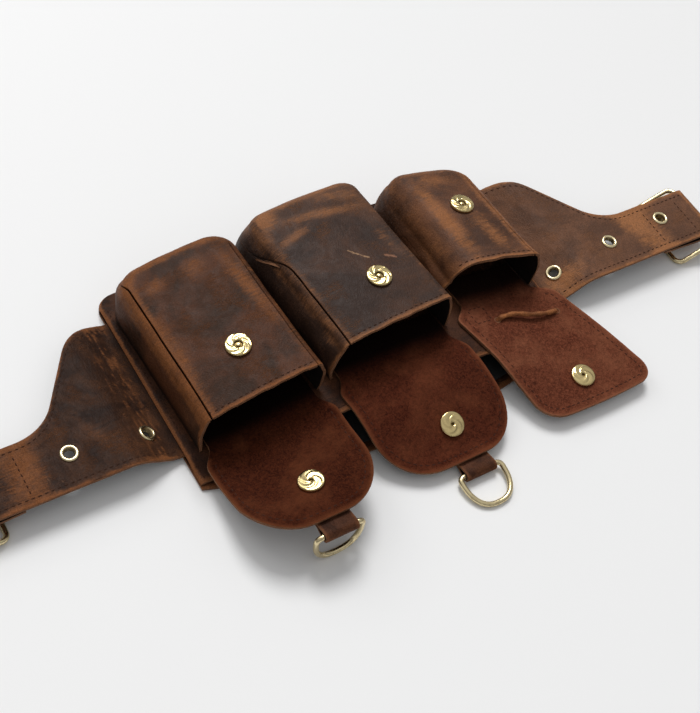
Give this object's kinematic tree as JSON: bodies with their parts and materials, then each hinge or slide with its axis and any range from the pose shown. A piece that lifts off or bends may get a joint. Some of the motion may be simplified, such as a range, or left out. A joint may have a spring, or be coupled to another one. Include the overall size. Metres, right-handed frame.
{
  "type": "belt bag",
  "caption": "Brown leather belt bag: flat back pocket, raised pouches with open snap flaps and hanging D-rings, and wings that taper to strap ends with eyelets and brass rings.",
  "frame": {"origin": "middle of the back panel's outer face, which lies on the floor", "axes": "+X runs along the belt from the wearer's right-hand wing to the left-hand one, -Y is the side of the pouch mouths and flaps, +Z points out of the bag's back, up from the floor"},
  "size_m": [0.52, 0.2154, 0.0532],
  "materials": {
    "outer_leather": "oiled pull-up leather, satin, with worn tan edges",
    "flap_suede": "matt flesh side of the leather",
    "lace_leather": "round leather lace, satin",
    "lining_cloth": "matt black woven cloth",
    "snap_brass": "antique brass, swirl pattern",
    "eyelet_brass": "pale brass, satin",
    "ring_brass": "antique brass wire, polished on the outside"
  },
  "bodies": {
    "bag": {"back_panel": "outer_leather", "pocket_lining": "lining_cloth", "pocket_front": "outer_leather", "wing_left": "outer_leather", "wing_right": "outer_leather", "pouch_gusset_1": "outer_leather", "pouch_gusset_2": "outer_leather", "pouch_gusset_3": "outer_leather", "pouch_panel_1": "outer_leather", "pouch_panel_2": "outer_leather", "pouch_panel_3": "outer_leather", "flap_1": "flap_suede", "flap_2": "flap_suede", "flap_3": "flap_suede", "ring_tab_1": "outer_leather", "ring_tab_2": "outer_leather", "pouch_snap_1": "snap_brass", "pouch_snap_2": "snap_brass", "pouch_snap_3": "snap_brass", "flap_snap_1": "snap_brass", "flap_snap_2": "snap_brass", "flap_snap_3": "snap_brass", "eyelet_left_1": "eyelet_brass", "eyelet_left_2": "eyelet_brass", "eyelet_left_3": "eyelet_brass", "eyelet_right_1": "eyelet_brass", "eyelet_right_2": "eyelet_brass", "eyelet_right_3": "eyelet_brass", "flap_lace": "lace_leather"},
    "d_ring_1": {"d_ring_1": "ring_brass"},
    "d_ring_2": {"d_ring_2": "ring_brass"},
    "end_ring_left": {"end_ring_left": "ring_brass"},
    "end_ring_right": {"end_ring_right": "ring_brass"}
  },
  "joints": [
    {"name": "d_ring_1_swing", "type": "hinge", "parent": "bag", "child": "d_ring_1", "pos_m": [-0.0805, -0.1285, 0.02255], "axis": [-1, 0, 0], "range_deg": [-55, 224]},
    {"name": "d_ring_2_swing", "type": "hinge", "parent": "bag", "child": "d_ring_2", "pos_m": [0.0175, -0.1235, 0.004], "axis": [-1, 0, 0], "range_deg": [-133, 146]},
    {"name": "end_ring_left_swing", "type": "hinge", "parent": "bag", "child": "end_ring_left", "pos_m": [-0.256, -0.0265, 0.0119], "axis": [0, -1, 0], "range_deg": [-300, 9]},
    {"name": "end_ring_right_swing", "type": "hinge", "parent": "bag", "child": "end_ring_right", "pos_m": [0.256, -0.0265, 0.0119], "axis": [0, 1, 0], "range_deg": [-300, 9]}
  ]
}
